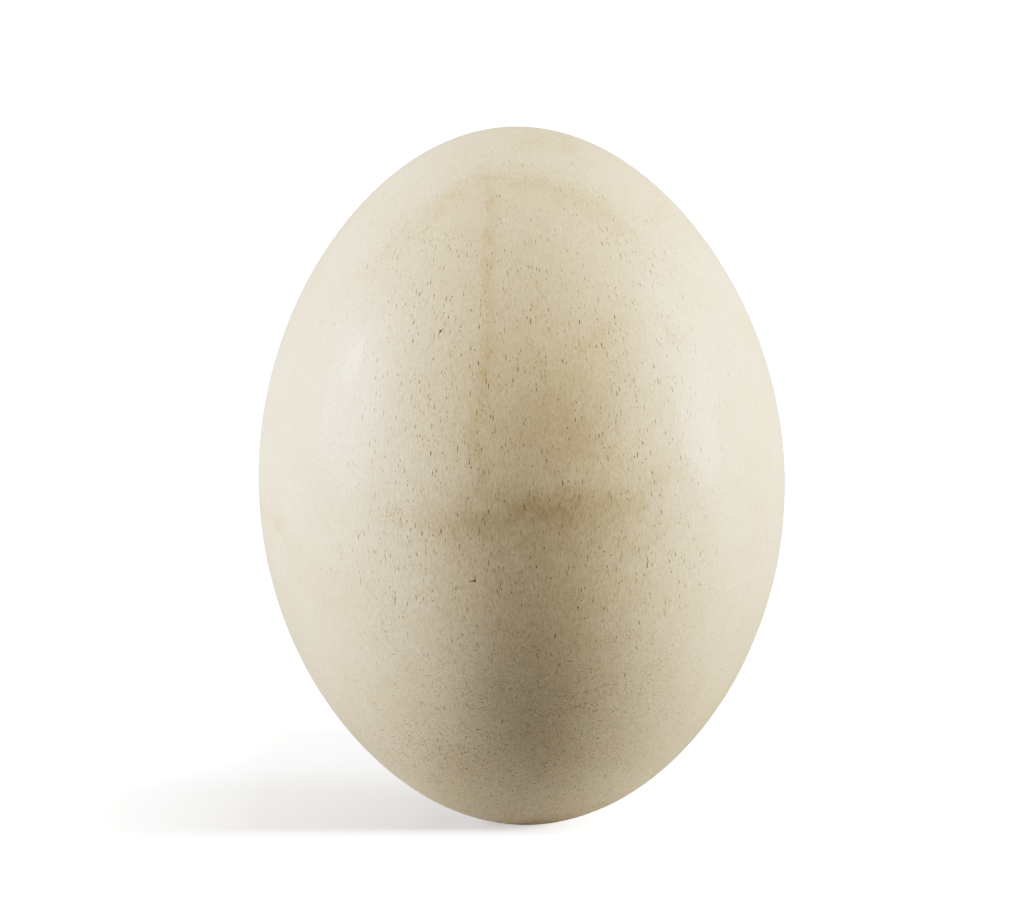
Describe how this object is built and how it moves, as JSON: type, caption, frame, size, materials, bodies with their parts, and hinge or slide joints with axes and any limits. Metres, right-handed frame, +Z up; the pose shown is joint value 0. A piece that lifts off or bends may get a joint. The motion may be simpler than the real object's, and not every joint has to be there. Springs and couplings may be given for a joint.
{
  "type": "elephant bird egg",
  "caption": "Whole egg of a giant flightless bird: a large, slightly blunt oval shell that stands on a small flat spot at its lower end.",
  "frame": {"origin": "middle of the flat spot that the egg stands on", "axes": "+Z up, from the blunt lower end to the other end; the long axis leans 1.6 degrees to -X; -Y faces the viewer of the picture"},
  "size_m": [0.225, 0.225, 0.2988],
  "materials": {
    "eggshell": "polished old eggshell, cream with warm tan stains and fine dark pores"
  },
  "bodies": {
    "root": {"eggshell": "eggshell"}
  },
  "joints": []
}
